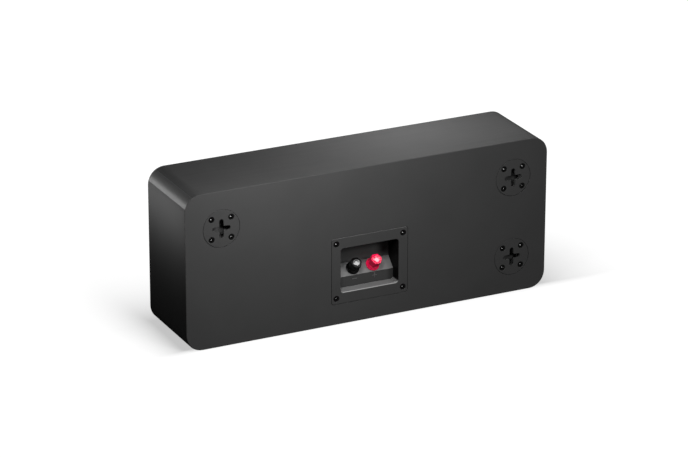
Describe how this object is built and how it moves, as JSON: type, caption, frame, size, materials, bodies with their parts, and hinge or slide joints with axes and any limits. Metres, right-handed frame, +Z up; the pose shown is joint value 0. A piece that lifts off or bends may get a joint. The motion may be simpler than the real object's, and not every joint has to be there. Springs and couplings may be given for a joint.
{
  "type": "wall speaker",
  "caption": "Flat black loudspeaker cabinet with rounded corners that hangs on a wall by keyhole plates, with recessed binding posts in its back and a cloth grille in front.",
  "frame": {"origin": "on the resting surface, under the middle of the cabinet", "axes": "+X along the width, +Y out of the back face with the terminals, +Z up"},
  "size_m": [0.48, 0.108, 0.196],
  "materials": {
    "cabinet_paint": "satin black paint on fibreboard",
    "baffle_paint": "matt black paint on fibreboard",
    "grille_board": "matt black fibreboard",
    "grille_fabric": "black knitted cloth",
    "plate_paint": "satin black powder coat",
    "screw_black": "black oxide",
    "cup_plastic": "fine moulded texture",
    "post_black": "polished",
    "post_red": "polished",
    "contact_metal": "bright nickel plate",
    "tag_metal": "tinned",
    "gasket_foam": "closed cell foam",
    "magnet_ferrite": "bare ferrite",
    "disc_magnet": "nickel plate",
    "motor_steel": "zinc plate",
    "basket_paint": "black paint",
    "surround_rubber": "matt",
    "cone_pulp": "matt",
    "spider_cloth": "stiffened weave",
    "coil_copper": "enamelled wire",
    "tweeter_plastic": "matt",
    "dome_silk": "coated weave",
    "board_laminate": "lacquered",
    "nylon": "natural",
    "capacitor_film": "wrapped film",
    "resistor_cement": "cement",
    "wire_cover": "smooth",
    "wadding_fibre": "loose polyester"
  },
  "bodies": {
    "cabinet": {"cabinet": "cabinet_paint", "front_baffle": "baffle_paint", "grille_frame": "grille_board", "grille_cloth": "grille_fabric", "grille_magnets": "disc_magnet", "baffle_magnets": "disc_magnet", "terminal_cup": "cup_plastic", "terminal_gasket": "gasket_foam", "terminal_cup_screws": "screw_black", "keyhole_plate_upper_right": "plate_paint", "keyhole_plate_upper_left": "plate_paint", "keyhole_plate_lower_left": "plate_paint", "keyhole_plate_screws": "screw_black", "solder_tags": "tag_metal", "terminal_nuts": "tag_metal", "woofer_screws": "screw_black", "tweeter_faceplate": "tweeter_plastic", "tweeter_dome": "dome_silk", "tweeter_rear_housing": "tweeter_plastic", "tweeter_screws": "screw_black", "crossover_board": "board_laminate", "crossover_standoffs": "nylon", "woofer_inductor": "coil_copper", "tweeter_inductor": "coil_copper", "tweeter_capacitor": "capacitor_film", "tweeter_resistor": "resistor_cement", "input_leads": "wire_cover", "woofer_leads": "wire_cover", "tweeter_lead": "wire_cover", "wadding_right": "wadding_fibre", "wadding_left": "wadding_fibre", "negative_collar": "post_black", "negative_stud": "contact_metal", "positive_collar": "post_red", "positive_stud": "contact_metal", "woofer_right_basket": "basket_paint", "woofer_right_surround": "surround_rubber", "woofer_right_spider": "spider_cloth", "woofer_right_top_plate": "motor_steel", "woofer_right_magnet": "magnet_ferrite", "woofer_right_yoke": "motor_steel", "woofer_left_basket": "basket_paint", "woofer_left_surround": "surround_rubber", "woofer_left_spider": "spider_cloth", "woofer_left_top_plate": "motor_steel", "woofer_left_magnet": "magnet_ferrite", "woofer_left_yoke": "motor_steel"},
    "negative_ring": {"negative_clamp_ring": "contact_metal"},
    "negative_cap": {"negative_cap": "post_black", "negative_cap_insert": "contact_metal"},
    "positive_ring": {"positive_clamp_ring": "contact_metal"},
    "positive_cap": {"positive_cap": "post_red", "positive_cap_insert": "contact_metal"},
    "woofer_right_diaphragm": {"woofer_right_cone": "cone_pulp", "woofer_right_dust_cap": "cone_pulp", "woofer_right_voice_coil": "coil_copper"},
    "woofer_left_diaphragm": {"woofer_left_cone": "cone_pulp", "woofer_left_dust_cap": "cone_pulp", "woofer_left_voice_coil": "coil_copper"}
  },
  "joints": [
    {"name": "negative_cap_advance", "type": "slide", "parent": "cabinet", "child": "negative_ring", "axis": [0, 0.7071, 0.7071], "range_m": [0, 0.003]},
    {"name": "negative_cap_turn", "type": "hinge", "parent": "negative_ring", "child": "negative_cap", "pos_m": [0.01335, 0.03374, 0.06036], "axis": [0, 0.7071, 0.7071], "range_deg": [0, 1080]},
    {"name": "positive_cap_advance", "type": "slide", "parent": "cabinet", "child": "positive_ring", "axis": [0, 0.7071, 0.7071], "range_m": [0, 0.003]},
    {"name": "positive_cap_turn", "type": "hinge", "parent": "positive_ring", "child": "positive_cap", "pos_m": [-0.01335, 0.03374, 0.06036], "axis": [0, 0.7071, 0.7071], "range_deg": [0, 1080]},
    {"name": "woofer_right_stroke", "type": "slide", "parent": "cabinet", "child": "woofer_right_diaphragm", "axis": [0, -1, 0], "range_m": [-0.004, 0.004], "stiffness_N_per_m": 1200, "deforming": ["woofer_right_surround", "woofer_right_spider"]},
    {"name": "woofer_left_stroke", "type": "slide", "parent": "cabinet", "child": "woofer_left_diaphragm", "axis": [0, -1, 0], "range_m": [-0.004, 0.004], "stiffness_N_per_m": 1200, "deforming": ["woofer_left_surround", "woofer_left_spider"]}
  ],
  "couplings": [
    {"joint": "negative_cap_turn", "follows": "negative_cap_advance", "rad_per_m": 6283.2},
    {"joint": "positive_cap_turn", "follows": "positive_cap_advance", "rad_per_m": 6283.2}
  ]
}
